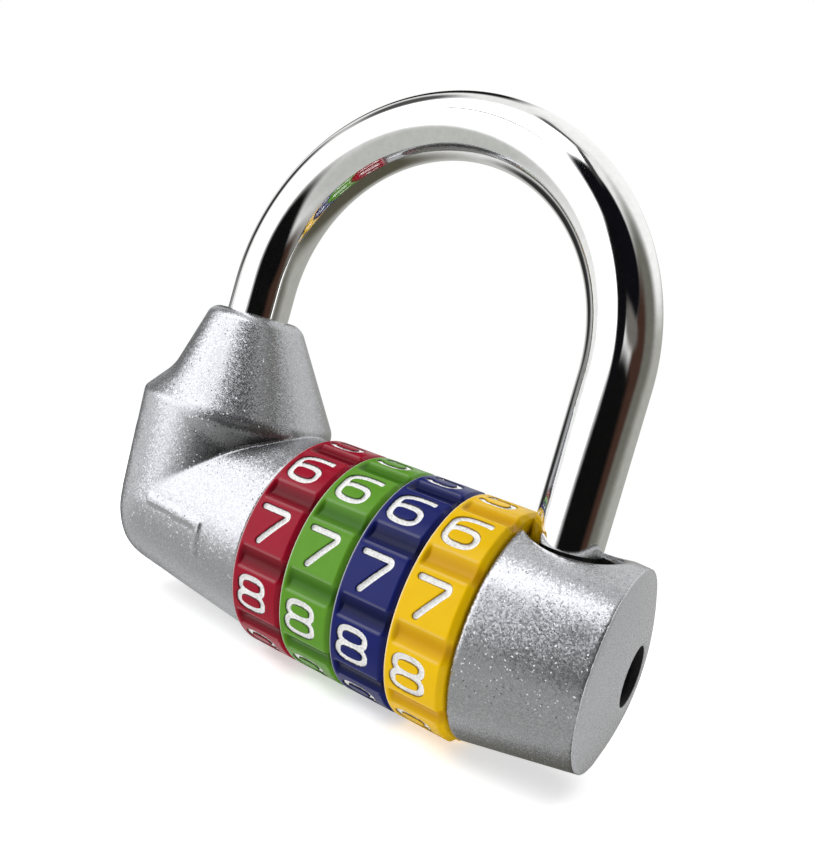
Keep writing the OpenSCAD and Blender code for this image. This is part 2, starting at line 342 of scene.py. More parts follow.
def index_mark(x, y, z):
    """Height of the raised mark on the front of the left casting: a line with a short hook."""
    rise = (LEFT_HIGH[0] - x) / (LEFT_HIGH[0] - RING_LEFT_FAR[0]) * RING_LEFT_FAR[2]
    over_line = np.arctan2(z - AXIS_Z - rise, -y) * MARK_RADIUS + MARK_LOWER
    line = np.maximum(between(x, MARK_START, MARK_END), np.abs(over_line) - MARK_W / 2)
    hook = np.maximum(np.abs(x - MARK_END) - HOOK_W / 2, between(over_line, -HOOK_LENGTH, MARK_W / 2))
    outline = np.minimum(line, hook)
    return MARK_H * (1 - smooth_step(outline, -MARK_SOFT, MARK_SOFT)) * smooth_step(-y, *MARK_FADE)


def pin_hole(x, y, z, node):
    """Blind hole along Y that a cross pin sits in, open at the back."""
    low, high = box_mm(node)
    centre_x = (low[0] + high[0]) / 2
    centre_z = (low[2] + high[2]) / 2
    hole_r = (high[0] - low[0]) / 2 + 0.02
    return np.maximum(rod(x - centre_x, z - centre_z, hole_r), low[1] - 0.1 - y)


def left_barrel(x, y, z):
    """Tapered barrel that ends in the side of the column, rounded at its lower left corner."""
    barrel = cone_along_x(x, y, z, RING_LEFT_NEAR, RING_LEFT_FAR)
    column = cone_along_z(x, y, z, RING_COLUMN, RING_RIDGE)
    foot = rounded_corner(column, FOOT_Z - z, FOOT_EDGE_R)
    barrel = smooth_max(barrel, np.minimum(foot, COLUMN_X - x), width=0.5)
    return rounded_corner(barrel, x - LEFT_HIGH[0], FACE_EDGE_R)


def left_column(x, y, z):
    """Round column over the barrel's axis, with its shoulder, fading out below the axis."""
    column = cone_along_z(x, y, z, RING_COLUMN, RING_RIDGE)
    shoulder = cone_along_z(x, y, z, RING_RIDGE, RING_SHOULDER)
    column = column + 0.08 * np.maximum(AXIS_Z - z, 0) ** 2
    column = smooth_max(column, shoulder, width=0.25)
    return smooth_max(column, AXIS_Z - 3 - z, width=0.2)


def left_boss(x, y, z):
    """Leaning, tapered boss with a rounded top edge, drawn in again below the ridge."""
    lean = cone_along_z(x, y, z, RING_BOSS_FOOT, RING_BOSS_TOP)
    boss = rounded_corner(lean, z - LEFT_HIGH[2], BOSS_EDGE_R)
    under = cone_along_z(x, y, z, RING_UNDER_LOW, RING_UNDER_HIGH)
    boss = smooth_max(boss, under, width=1.0)
    return smooth_max(boss, AXIS_Z - z, width=0.2)


def left_inner(x, y, z):
    """Bores along the barrel's axis: for the hubs' spring, the tube and the spindle's nose."""
    u = y
    v = z - AXIS_Z
    inner = np.minimum(
        np.maximum(rod(u, v, SPRING_ROOM_R), SPRING_ROOM_X - x),
        np.maximum(rod(u, v, TUBE_BORE_R), TUBE_LEFT_X - x),
    )
    return np.minimum(inner, np.maximum(rod(u, v, NOSE_BORE_R), between(x, LONG_LEG_X, 0)))


def left_casting(x, y, z):
    """Tapered barrel that turns up into a round column with a leaning, tapered boss."""
    upper = smooth_min(left_column(x, y, z), left_boss(x, y, z), width=0.45)
    body = smooth_min(left_barrel(x, y, z), upper, width=0.2) - index_mark(x, y, z)
    leg_bore = np.maximum(rod(x - LONG_LEG_X, y, LEG_BORE_R), LEG_BORE_Z - z)
    body = smooth_max(body, -leg_bore, width=0.35)
    for pin in ("retaining_pin", "tube_pin_left"):
        body = smooth_max(body, -pin_hole(x, y, z, pin), width=0.15)
    return np.maximum(body, -left_inner(x, y, z))


def mouth(x, y, z):
    """Mouth round the free leg, drawn out to the right so that the leg can swing in."""
    at_leg = rod(x - FREE_LEG_X, y, MOUTH_R)
    at_end = rod(x - MOUTH_END_X, y, MOUTH_END_R)
    return np.maximum(smooth_min(at_leg, at_end, width=0.6), MOUTH_Z - z)


def right_inner(x, y, z):
    """Socket of the free leg, room behind the cap, and bores of the tube and the prongs."""
    u = y
    v = z - AXIS_Z
    socket = np.maximum(rod(x - FREE_LEG_X, y, SOCKET_R), SOCKET_Z - z)
    inner = np.minimum(socket, np.maximum(rod(u, v, BUTTON_ROOM_R), BUTTON_ROOM_X - x))
    inner = np.minimum(inner, np.maximum(rod(u, v, TUBE_BORE_R), x - TUBE_RIGHT_X))
    return np.minimum(inner, rod(np.abs(u) - PRONG_Y, v - PRONG_Z, PRONG_BORE_R))


def right_casting(x, y, z):
    """Tapered barrel with the socket and the wider mouth that the free leg stands in."""
    body = cone_along_x(x, y, z, RING_RIGHT_NEAR, RING_RIGHT_FAR)
    body = rounded_corner(body, RIGHT_LOW[0] - x, FACE_EDGE_R)
    body = rounded_corner(body, x - RIGHT_HIGH[0], 0.12)
    body = smooth_max(body, -mouth(x, y, z), width=1.3)
    body = smooth_max(body, -pin_hole(x, y, z, "tube_pin_right"), width=0.15)
    return np.maximum(body, -right_inner(x, y, z))


def paint_bore_shade(piece, field):
    """Gives the faces where field(x, y, z) is negative the unpainted metal of the inside, near-black as
    painted shade.
    """
    piece.data.materials.append(bore_shade())
    centres = np.zeros(3 * len(piece.data.polygons))
    piece.data.polygons.foreach_get("center", centres)
    inside = field(*(centres.reshape(-1, 3).T / MM)) < 0
    piece.data.polygons.foreach_set("material_index", inside.astype(np.int32))


def inside_left(x, y, z):
    """Space that holds the left casting's bore faces that get the near-black painted shade."""
    room = np.maximum(rod(y, z - AXIS_Z, 8.2), between(x, -15.8, LEFT_HIGH[0] - 0.1))
    bore = np.maximum(rod(x - LONG_LEG_X, y, ROD_R + 0.4), between(z, 3.9, LEFT_HIGH[2] - 0.6))
    return np.minimum(room, bore)


def inside_right(x, y, z):
    """Space that holds the faces of the right casting's mouth and bores that get the near-black painted
    shade.
    """
    deep = np.maximum(mouth(x, y, z) - 0.3, z - RIM_Z)
    return np.minimum(deep, rod(y, z - AXIS_Z, 8.4))


def neck_shade(x, y, z):
    """How much painted shade darkens the hollow between the boss and the barrel, 0 to 1."""
    above = cone_along_x(x, y, z, RING_LEFT_NEAR, RING_LEFT_FAR)
    close = np.exp(-np.maximum(above, 0) / 4.0) * smooth_step(above, 0.1, 0.35)
    over_axis = smooth_step(z, AXIS_Z + 4.5, AXIS_Z + 6.5)
    under_ridge = 1 - smooth_step(z, RIDGE_Z - 1.6, RIDGE_Z + 0.3)
    right_side = smooth_step(x, COLUMN_X + 3.5, COLUMN_X + 8.5)
    return close * over_axis * under_ridge * right_side


def make_castings():
    """Both end castings of the barrel."""
    cell = 0.26
    left = solid_mesh("casting_left", left_casting, LEFT_LOW, LEFT_HIGH, cell)
    right = solid_mesh("casting_right", right_casting, RIGHT_LOW, RIGHT_HIGH, cell)
    for piece, node, inside in ((left, "case_left", inside_left), (right, "case_right", inside_right)):
        replace_node(piece, satin_paint("flake"), "case", node)
        # Painted shade: the faces inside the bores get near-black metal
        paint_bore_shade(piece, inside)
    # Painted shade: each point of the left casting gets how strongly the hollow under the boss is
    # darkened
    places = np.zeros(3 * len(left.data.vertices))
    left.data.vertices.foreach_get("co", places)
    write_values(left, "neck_shade", neck_shade(*(places.reshape(-1, 3).T / MM)))


# ---- end cap ----

CAP_HOLE_R = 3.2
CAP_R = 10.8
CAP_RISE = 0.7
CAP_EDGE = 0.25
SPIGOT_R = 7.9


def cap_profile():
    """Outline of the cap as (x, radius): the hole, the dome and the spigot behind it."""
    height = CAP_HIGH[0] - RIGHT_HIGH[0]
    depth = (CAP_R**2 - CAP_HOLE_R**2 - height**2) / (2 * height)
    dome_r = math.hypot(depth, CAP_R)
    profile = [(CAP_LOW[0], CAP_HOLE_R), (CAP_HIGH[0] - 0.3, CAP_HOLE_R)]
    for r in np.linspace(CAP_HOLE_R + 0.04, CAP_R - 0.05, 60):
        to_edge = min(r - CAP_HOLE_R, CAP_R - r)
        drop = CAP_EDGE * math.exp(-to_edge / 0.12)
        profile.append((RIGHT_HIGH[0] + math.sqrt(dome_r**2 - r**2) - depth - drop, r))
    back = RIGHT_HIGH[0] + 0.02
    return profile + [(back, CAP_R), (back, SPIGOT_R + 0.1), (CAP_LOW[0], SPIGOT_R)]


def make_end_cap():
    """Domed cap with a round hole and a softened rim."""
    centre_z = AXIS_Z + CAP_RISE
    cap = lathe("cap_dome", cap_profile(), 192, centre_z)
    # The cap's smooth paint is made lighter as painted light
    replace_node(cap, satin_paint("smooth"), "case", "end_cap")
    # Painted shade: the cap's hole gets near-black metal
    paint_bore_shade(cap, lambda x, y, z: rod(y, z - centre_z, CAP_HOLE_R + 0.02))


# ---- numerals ----

STROKE_W = 0.72
NUMERAL_W = 4.15
NUMERAL_H = 4.5
NUMERAL_X = 0.75
STROKE_REACH = 1.2
ARC_POWER = 0.75
NUMERAL_MARGIN = 0.3
PANEL_MARGIN = 4


def arc(cx, cy, rx, ry, start, end, count=18):
    """Points along part of a slightly squared ellipse, in degrees."""
    a = np.radians(np.linspace(start, end, count))
    across = np.sign(np.cos(a)) * np.abs(np.cos(a)) ** ARC_POWER
    up = np.sign(np.sin(a)) * np.abs(np.sin(a)) ** ARC_POWER
    return list(zip(cx + rx * across, cy + ry * up))


def numeral_lines(digit):
    """Centre lines of a numeral's strokes in a box from (0, 0) to (1, 1)."""
    six = [
        arc(0.78, 0.62, 0.78, 0.38, 68, 180),
        arc(0.5, 0.29, 0.5, 0.29, 180, 540, 36),
        [(0.0, 0.62), (0.0, 0.3)],
    ]
    shapes = {
        0: [arc(0.5, 0.62, 0.5, 0.38, 0, 180) + arc(0.5, 0.38, 0.5, 0.38, 180, 360) + [(1, 0.62)]],
        1: [[(0.2, 0.78), (0.55, 1), (0.55, 0)]],
        2: [arc(0.5, 0.68, 0.48, 0.32, 165, -35) + [(0.02, 0), (1, 0)]],
        3: [arc(0.45, 0.76, 0.48, 0.24, 150, -90) + arc(0.45, 0.27, 0.53, 0.27, 90, -150)],
        4: [[(0.72, 0), (0.72, 1), (0, 0.3), (1, 0.3)]],
        5: [[(0.92, 1), (0.12, 1), (0.06, 0.56)] + arc(0.46, 0.33, 0.52, 0.33, 110, -150)],
        6: six,
        7: [[(0.06, 1), (0.9, 1)] + arc(0.9, 0.9, 0.13, 0.1, 90, -30, 8) + [(0.36, 0)]],
        8: [arc(0.5, 0.76, 0.46, 0.24, 0, 360, 36), arc(0.5, 0.26, 0.5, 0.26, 0, 360, 36)],
        9: [[(1 - u, 1 - v) for u, v in line] for line in six],
    }
    return shapes[digit]


def stroke_distance(digit, u, v):
    """Distance in mm from points of a dial's panel to the numeral's centre lines."""
    wide = NUMERAL_W - STROKE_W
    high = NUMERAL_H - STROKE_W
    nearest = np.full(u.shape, STROKE_REACH)
    for line in numeral_lines(digit):
        points = np.array(line) * (wide, high) + (NUMERAL_X + STROKE_W / 2, -high / 2)
        for (ax, ay), (bx, by) in zip(points[:-1], points[1:]):
            dx = bx - ax
            dy = by - ay
            along = ((u - ax) * dx + (v - ay) * dy) / max(dx * dx + dy * dy, 1e-9)
            along = np.clip(along, 0, 1)
            nearest = np.minimum(nearest, np.hypot(u - ax - along * dx, v - ay - along * dy))
    return nearest


# ---- dials ----

DIGITS = 10
HALF_PANEL = 180 / DIGITS
READ_ANGLE = 15.0
READ_DIGIT = 7
DIAL_TURNS = (0.8, 0.4, 0.0, -0.6)
VALLEY_R = 1.9
VALLEY_DEPTH = 0.5
VALLEY_HALF = math.sqrt(VALLEY_R**2 - (VALLEY_R - VALLEY_DEPTH) ** 2)
GROOVE_DEPTH = 0.3
RIM_W = 0.5
RIM_EDGE_R = 0.2
CHAMFER = 0.65
CHAMFER_X = DIAL_W - CHAMFER
CHAMFER_SOFT = 0.2
BORE_R = 7.65
FREE_BORE_R = 8.6
FREE_BORE_W = 2.6
KEYWAY_R = 0.6
FINE_STEP = 0.1


def dial_angles():
    """Angles in degrees round the dial from the middle of a panel: fine over the numeral."""
    step = math.degrees(FINE_STEP / DIAL_R)
    coarser = 1
    half_numeral = math.degrees((NUMERAL_H / 2 + 0.15) / DIAL_R)
    fine = np.linspace(-half_numeral, half_numeral, round(2 * half_numeral / step / coarser))
    rest = round(2 * (HALF_PANEL - half_numeral) / step / 1.6 / coarser)
    valley = np.linspace(half_numeral, 2 * HALF_PANEL - half_numeral, rest + 2)[1:-1]
    return np.concatenate([fine, valley])


def dial_rows():
    """Places across the dial's width, in mm: close at both edges and over the numeral."""
    fine = FINE_STEP * 1
    numeral_end = NUMERAL_X + NUMERAL_W
    return np.concatenate(
        [
            [0.0, 0.03, 0.08, 0.14, 0.2],
            np.arange(0.3, NUMERAL_X - 0.1, 0.12),
            np.arange(NUMERAL_X - 0.1, numeral_end + 0.1, fine),
            np.arange(numeral_end + 0.2, CHAMFER_X - 0.15, 0.16),
            CHAMFER_X + np.array([-0.1, -0.03, 0.04, 0.12, 0.25, 0.4, 0.55, 0.65]),
        ]
    )


def edge_drop(x):
    """How far the rounded left edge and the right-hand chamfer lie below the rim."""
    edge = np.maximum(RIM_EDGE_R - x, 0)
    rounded = RIM_EDGE_R - np.sqrt(np.maximum(RIM_EDGE_R**2 - edge**2, 0))
    past = np.maximum(x - CHAMFER_X, 0)
    eased = np.where(past < CHAMFER_SOFT, past**2 / (2 * CHAMFER_SOFT), past - CHAMFER_SOFT / 2)
    return rounded + eased


def valley_depth(x, from_valley):
    """Depth of the round valleys between the panels, which run out at the right-hand edge."""
    dip = np.sqrt(np.maximum(VALLEY_R**2 - from_valley**2, 0)) - (VALLEY_R - VALLEY_DEPTH)
    return np.maximum(dip, 0) * smooth_step(x, RIM_W - 0.15, RIM_W + 0.35)


def numeral_strokes(x, angle, panels):
    """Distance in mm from each point of the dial's outside to its numeral's centre lines."""
    stroke = np.full(x.shape, STROKE_REACH)
    for panel in range(DIGITS):
        here = (panels == panel)[None, :] & (np.abs(angle) < HALF_PANEL - PANEL_MARGIN)
        here &= between(x, NUMERAL_MARGIN, NUMERAL_X + NUMERAL_W + NUMERAL_MARGIN) < 0
        digit = (READ_DIGIT - panel) % DIGITS
        stroke[here] = stroke_distance(digit, x[here], np.radians(angle[here]) * DIAL_R)
    return stroke


def rim_glint(x, from_valley):
    """How strongly a painted highlight lightens the left rim and the lips of the valleys."""
    rim = np.exp(-(((x - 0.1) / 0.07) ** 2))
    lip = np.exp(-((np.abs(np.abs(from_valley) - VALLEY_HALF) / 0.08) ** 2))
    lip = lip * smooth_step(x, RIM_W, RIM_W + 0.4)
    return rim + 0.3 * lip * (1 - smooth_step(x, CHAMFER_X - 0.3, CHAMFER_X))


def keyed_bore(angles):
    """Radius of the dial's narrow bore at each angle, with a round keyway under each valley."""
    from_keyway = np.radians(np.abs(angles) - HALF_PANEL)
    deep = np.sqrt(np.maximum(KEYWAY_R**2 - (BORE_R * np.sin(from_keyway)) ** 2, 0))
    return np.maximum(BORE_R * np.cos(from_keyway) + deep, BORE_R)


def round_axis(x, radius, heading):
    """Points round the barrel's axis, in mm; a heading of 0 is level with it at the front."""
    x, radius, heading = np.broadcast_arrays(x, radius, heading)
    points = [x, -radius * np.cos(heading), AXIS_Z + radius * np.sin(heading)]
    return np.stack(points, 2).reshape(-1, 3)


def make_dial(colour, turn):
    """Number dial with valleys between its panels and a sunk, filled numeral on each panel."""
    node = "dial_" + colour
    left = box_mm(node)[0][0]
    local = dial_angles()
    panels = np.repeat(np.arange(DIGITS), len(local))
    angles = np.tile(local, DIGITS)
    rows = dial_rows()
    x, angle = np.meshgrid(rows, angles, indexing="ij")
    from_valley = np.radians(np.abs(angle) - HALF_PANEL) * DIAL_R
    stroke = numeral_strokes(x, angle, panels)
    in_groove = 1 - smooth_step(stroke, STROKE_W / 2 - 0.12, STROKE_W / 2 + 0.06)
    sunk = valley_depth(x, from_valley) + GROOVE_DEPTH * in_groove
    heading = np.radians(READ_ANGLE + turn + panels * 360 / DIGITS + angles)[None, :]
    outer = round_axis(left + x, DIAL_R - edge_drop(x) - sunk, heading)

    keyed = keyed_bore(angles + turn)
    free = np.full(len(angles), FREE_BORE_R)
    bore_rows = np.array([DIAL_W, FREE_BORE_W, FREE_BORE_W, 0])[:, None]
    inner = round_axis(left + bore_rows, np.stack([keyed, keyed, free, free]), heading)

    faces = grid_faces(len(rows) + len(bore_rows), len(angles), close_rows=True)
    dial = face_outwards(mesh_object(node + "_body", np.concatenate([outer, inner]), faces))
    replace_node(dial, enamel(colour), node, node)
    for name, outside, inside in (
        ("stroke", stroke, STROKE_REACH),
        ("sunk", sunk, 0.0),
        ("rim", rim_glint(x, from_valley), 0.0),
    ):
        write_values(dial, name, np.append(outside.ravel(), np.full(len(inner), inside)))


# ---- shackle ----

ROD_SIDES = 96
BOW_STEPS = 140
ROD_ANGLES = np.linspace(0, 2 * math.pi, ROD_SIDES, endpoint=False)
END_R = 0.02
END_CHAMFER = 0.6
LONG_LEG_BOTTOM = SHACKLE_LOW[2]
NOTCH_TOP = 15.6
RAMP = 0.325
NOTCH_X = LONG_LEG_X + ROD_R - 2.6
FLAT_X = -26.35
FLAT_LOW = 6.85
FLAT_HIGH = 17.15
TOE_BOTTOM = 20.2
TOE_TOP = 23.6
TOE_R = ROD_R - 0.2


def leg_ring(leg_x, z, sense, r=ROD_R):
    """Level ring of points round a leg; sense is the way along X that its first point lies."""
    x = leg_x + sense * r * np.cos(ROD_ANGLES)
    return np.stack([x, r * np.sin(ROD_ANGLES), np.full(ROD_SIDES, z)], 1)


def notched(ring):
    """A ring of the long leg, cut by the ramped notch that the spindle's nose sits in."""
    ring[:, 0] = np.minimum(ring[:, 0], NOTCH_X - RAMP * (ring[:, 2] - AXIS_Z))
    return ring


def flattened(ring):
    """A ring of the long leg, cut by the flat that the retaining pin runs along."""
    ring[:, 0] = np.maximum(ring[:, 0], FLAT_X)
    return ring


def long_leg_rings():
    """Rings up the long leg, from its closed lower end past the notch and the flat."""
    rings = [
        leg_ring(LONG_LEG_X, LONG_LEG_BOTTOM, -1, r)
        for r in (END_R, ROD_R - 2 * END_CHAMFER, ROD_R - END_CHAMFER)
    ]
    under_flat = np.arange(LONG_LEG_BOTTOM + 1, FLAT_LOW, 0.4)
    for z in (LONG_LEG_BOTTOM + END_CHAMFER, *under_flat, FLAT_LOW):
        rings.append(notched(leg_ring(LONG_LEG_X, z, -1)))
    for z in (*np.arange(FLAT_LOW, NOTCH_TOP, 0.6), NOTCH_TOP):
        rings.append(flattened(notched(leg_ring(LONG_LEG_X, z, -1))))
    for z in (NOTCH_TOP, FLAT_HIGH):
        rings.append(flattened(leg_ring(LONG_LEG_X, z, -1)))
    for z in np.arange(FLAT_HIGH, BOW_Z, 2.0):
        rings.append(leg_ring(LONG_LEG_X, z, -1))
    return rings


def bow_rings():
    """Rings round the bow, from the long leg to the free one."""
    middle = (LONG_LEG_X + FREE_LEG_X) / 2
    reach = BOW_R + ROD_R * np.cos(ROD_ANGLES)
    side = ROD_R * np.sin(ROD_ANGLES)
    return [
        np.stack([middle + reach * math.cos(a), side, BOW_Z + reach * math.sin(a)], 1)
        for a in np.radians(np.linspace(180, 0, BOW_STEPS))
    ]


def free_leg_rings():
    """Rings down the free leg, to the closed lower end of its thinner toe."""
    rings = [leg_ring(FREE_LEG_X, z, 1) for z in np.arange(BOW_Z - 2, TOE_TOP, -2.0)]
    toe = [
        (TOE_TOP, ROD_R),
        (TOE_TOP - 0.4, TOE_R),
        (TOE_BOTTOM + END_CHAMFER, TOE_R),
        (TOE_BOTTOM, TOE_R - END_CHAMFER),
        (TOE_BOTTOM, END_R),
    ]
    return rings + [leg_ring(FREE_LEG_X, z, 1, r) for z, r in toe]


def make_shackle():
    """Bent rod: long leg with its notch and flat, bow and free leg."""
    shackle = tube("shackle_rod", long_leg_rings() + bow_rings() + free_leg_rings())
    replace_node(shackle, chrome(), "shackle", "shackle")


# ---- springs ----

WIRE_R = 0.35
WIRE_SIDES = 10
STEPS_PER_TURN = 36


def make_coil(name, node, coil_r, turns):
    """Coil spring along the barrel, as long as its CAD node."""
    ends = [corner[0] for corner in box_mm(node)]
    length = ends[1] - ends[0]
    t = np.linspace(0, 1, STEPS_PER_TURN * turns + 1)
    a = 2 * math.pi * turns * t
    along = ends[0] + WIRE_R + (length - 2 * WIRE_R) * t
    centre = np.stack([along, coil_r * np.cos(a), AXIS_Z + coil_r * np.sin(a)], 1)
    outward = np.stack([np.zeros_like(a), np.cos(a), np.sin(a)], 1)
    sides = [
        centre + WIRE_R * (math.cos(b) * outward + math.sin(b) * np.array([1.0, 0, 0]))
        for b in np.linspace(0, 2 * math.pi, WIRE_SIDES, endpoint=False)
    ]
    coil = tube(name, np.stack(sides, 1))
    replace_node(coil, steel("spring_steel"), "case", node)
    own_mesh(coil)


def make_springs():
    """The spring that returns the spindle, and the one that returns the hubs after a reset."""
    make_coil("spindle_return_spring", "spindle_spring", 2.5, 4)
    make_coil("hub_return_spring", "reset_spring", 6.1, 2)


# ---- materials ----


BUMP_DEPTH = 0.02


def opaque(colour):
    """A colour with full alpha."""
    return (*colour, 1)


class Nodes:
    """A node tree being made, with short ways to add and join its nodes."""

    def __init__(self, tree):
        self.tree = tree

    def feed(self, socket, value):
        """Links a socket into another, or sets it to a constant."""
        if isinstance(value, bpy.types.NodeSocket):
            self.tree.links.new(value, socket)
        else:
            socket.default_value = value

    def node(self, kind, inputs=(), **settings):
        """A new node with its settings made and its inputs fed, by name or number."""
        node = self.tree.nodes.new("ShaderNode" + kind)
        for key, value in settings.items():
            setattr(node, key, value)
        for key, value in dict(inputs).items():
            self.feed(node.inputs[key], value)
        return node

    def maths(self, operation, *values):
        """Result of a Math node."""
        return self.node("Math", dict(enumerate(values)), operation=operation).outputs[0]

    def vector(self, operation, inputs):
        """Resulting vector of a vector maths node."""
        return self.node("VectorMath", inputs, operation=operation).outputs[0]

    def mix(self, factor, a, b):
        """Colour between a and b."""
        return self.node("Mix", {0: factor, 6: a, 7: b}, data_type="RGBA").outputs[2]

    def mapped(self, value, **limits):
        """A value spread between limits, which are the inputs of a Map Range node."""
        inputs = {key.replace("_", " "): limit for key, limit in limits.items()}
        return self.node("MapRange", {"Value": value, **inputs}).outputs["Result"]


class Shader(Nodes):
    """A material being made round its Principled surface."""

    def __init__(self, name):
        self.material = bpy.data.materials.new(name)
        self.material.use_nodes = True
        super().__init__(self.material.node_tree)
        self.surface = self.tree.nodes["Principled BSDF"]

    def surface_is(self, **values):
        """Sets or links inputs of the surface; an underscore stands for a space."""
        for key, value in values.items():
            self.feed(self.surface.inputs[key.replace("_", " ")], value)

    def place(self):
        """Place on the piece, in metres."""
        return self.node("TexCoord").outputs["Object"]

    def value_of(self, attribute):
        """Value that write_values gave the piece, or 0."""
        return self.node("Attribute", attribute_name=attribute).outputs["Fac"]

    def ramp(self, value, stops):
        """Colour read off a ramp of (position, colour)."""
        ramp = self.node("ValToRGB", {"Fac": value})
        elements = ramp.color_ramp.elements
        while len(elements) < len(stops):
            elements.new(0.5)
        for element, (at, colour) in zip(elements, stops):
            element.position = at
            element.color = opaque(colour)
        return ramp.outputs["Color"]

    def noise(self, size_mm, detail=2.0, roughness=0.5):
        """Soft noise of 0 to 1, with features of about that size."""
        inputs = {"Vector": self.place(), "Scale": 1 / (size_mm * MM)}
        inputs.update({"Detail": detail, "Roughness": roughness})
        return self.node("TexNoise", inputs).outputs["Fac"]

    def scaled(self, value, low, high):
        """A 0 to 1 value spread from low to high."""
        return self.mapped(value, To_Min=low, To_Max=high)

    def bump(self, height, strength, normal=None):
        """Surface direction over fine relief."""
        inputs = {"Height": height, "Strength": strength, "Distance": BUMP_DEPTH * MM}
        if normal is not None:
            inputs["Normal"] = normal
        return self.node("Bump", inputs).outputs["Normal"]


made = {}


def once(make):
    """Makes each material only once for each set of arguments."""

    def wrapped(*words):
        key = (make.__name__, *words)
        if key not in made:
            made[key] = make(*words)
        return made[key]

    return wrapped


# Silver paint by finish: how metallic it is, how far its flakes tilt and how light it is, and
# the range over which clouds even out its grain
# The smooth finish, on the end cap, is made lighter by its tone as painted light, since the lamps leave
# the cap's face dim.
FINISHES = {"flake": (0.9, 0.15, 1.0), "smooth": (0.2, 0.06, 1.22)}
FLAKE_SIZE = 0.14
FLAKE_TONES = (0.38, 0.46, 0.58)
# Near-black colour of the painted shade in the hollow under the left casting's boss
NECK_SHADE_COLOUR = (0.03, 0.03, 0.027)
EVENNESS = {"flake": (0.0, 0.35), "smooth": (0.7, 0.9)}


@once
def satin_paint(finish):
    """Silver paint: flakes that tilt each its own way, under a thin satin coat."""
    metallic, tilt, tone = FINISHES[finish]
    s = Shader("satin_silver_" + finish)
    flakes = s.node("TexVoronoi", {"Vector": s.place(), "Scale": 1 / (FLAKE_SIZE * MM)}).outputs["Color"]
    grain = s.node("SeparateColor", {"Color": flakes}).outputs
    dark, mid, light = ([tone * c for c in (v, v * 1.01, v * 1.05)] for v in FLAKE_TONES)
    ground = s.ramp(grain["Red"], [(0.0, dark), (0.6, mid), (1.0, light)])
    painted = s.mix(s.scaled(s.noise(2.5, 3), *EVENNESS[finish]), ground, opaque(mid))
    # Painted shade: darkens the paint in the hollow under the boss
    colour = s.mix(s.value_of("neck_shade"), painted, opaque(NECK_SHADE_COLOUR))

    lean = s.vector("SUBTRACT", {0: flakes, 1: (0.5, 0.5, 0.5)})
    strays = s.mapped(grain["Blue"], From_Min=0.96, From_Max=0.97, To_Min=tilt, To_Max=5 * tilt)
    lean = s.vector("SCALE", {0: lean, "Scale": strays})
    turned = s.vector("ADD", {0: s.node("NewGeometry").outputs["Normal"], 1: lean})
    turned = s.vector("NORMALIZE", {0: turned})
    normal = s.bump(s.noise(0.9, 2), 0.2, turned)
    roughness = s.scaled(grain["Green"], 0.24, 0.34)
    s.surface_is(Base_Color=colour, Roughness=roughness, Normal=normal)
    s.surface_is(Metallic=metallic, Coat_Weight=0.1, Coat_Roughness=0.3)
    return s.material


# Bright colour of each dial's panels, and the deep one that paints shade into its valleys and tints its
# clouds
ENAMEL = {
    "red": ((0.29, 0.004, 0.020), (0.11, 0.002, 0.007)),
    "green": ((0.10, 0.27, 0.02), (0.035, 0.12, 0.006)),
    "blue": ((0.008, 0.013, 0.118), (0.002, 0.004, 0.036)),
    "yellow": ((0.74, 0.46, 0.0), (0.52, 0.27, 0.0)),
}
# Light colour of the painted highlight on the dials' rims and valley lips
RIM_GLINT_COLOUR = (0.8, 0.8, 0.78)


@once
def enamel(colour):
    """Gloss enamel with painted shade in the valleys, a painted shadow line round the white-painted
    numerals and a painted highlight on the rim.
    """
    s = Shader(colour + "_enamel")
    bright, deep = ENAMEL[colour]
    clouded = s.mix(s.scaled(s.noise(2.0, 2), 0.0, 0.25), opaque(bright), opaque(deep))
    # Painted shade: the valleys take the deep colour by how far they are sunk
    valley_shaded = s.mix(s.mapped(s.value_of("sunk"), From_Max=VALLEY_DEPTH), clouded, opaque(deep))
    uneven = s.maths("ADD", s.value_of("stroke"), s.scaled(s.noise(0.35, 2), -0.03, 0.03))
    shadow = opaque([0.35 * c for c in deep])
    lined = s.mix(s.mapped(uneven, From_Min=0.36, From_Max=0.42), shadow, valley_shaded)
    # Painted highlight: lightens the left rim and the valley lips
    glinted = s.mix(s.scaled(s.value_of("rim"), 0.0, 0.6), lined, opaque(RIM_GLINT_COLOUR))
    white = s.ramp(s.noise(0.25, 3, 0.6), [(0.3, (0.62, 0.62, 0.62)), (0.55, (0.86, 0.86, 0.85))])
    outside = s.mapped(uneven, From_Min=0.29, From_Max=0.34)
    colour = s.mix(outside, white, glinted)
    roughness = s.scaled(outside, 0.5, 0.22)
    s.surface_is(Base_Color=colour, Roughness=roughness, Normal=s.bump(s.noise(0.9, 2), 0.12))
    s.surface_is(Specular_IOR_Level=0.1, Coat_Weight=0.12, Coat_Roughness=0.06)
    return s.material


@once
def chrome():
    """Polished chrome with faint rubbing marks."""
    s = Shader("polished_chrome")
    rubbed = s.noise(0.8, 4, 0.65)
    colour = s.ramp(rubbed, [(0.35, (0.86, 0.86, 0.85)), (0.6, (0.93, 0.93, 0.92))])
    roughness = s.scaled(rubbed, 0.03, 0.09)
    s.surface_is(Base_Color=colour, Roughness=roughness, Normal=s.bump(s.noise(1.6, 2), 0.06))
    s.surface_is(Metallic=1.0)
    return s.material


def marked(name, marks, dark, light, roughness):
    """A plain surface whose fine marks run from dark to light and from smooth to rough."""
    s = Shader(name)
    fine = s.noise(*marks)
    colour = s.ramp(fine, [(0.3, dark), (0.7, light)])
    s.surface_is(Base_Color=colour, Roughness=s.scaled(fine, *roughness))
    return s


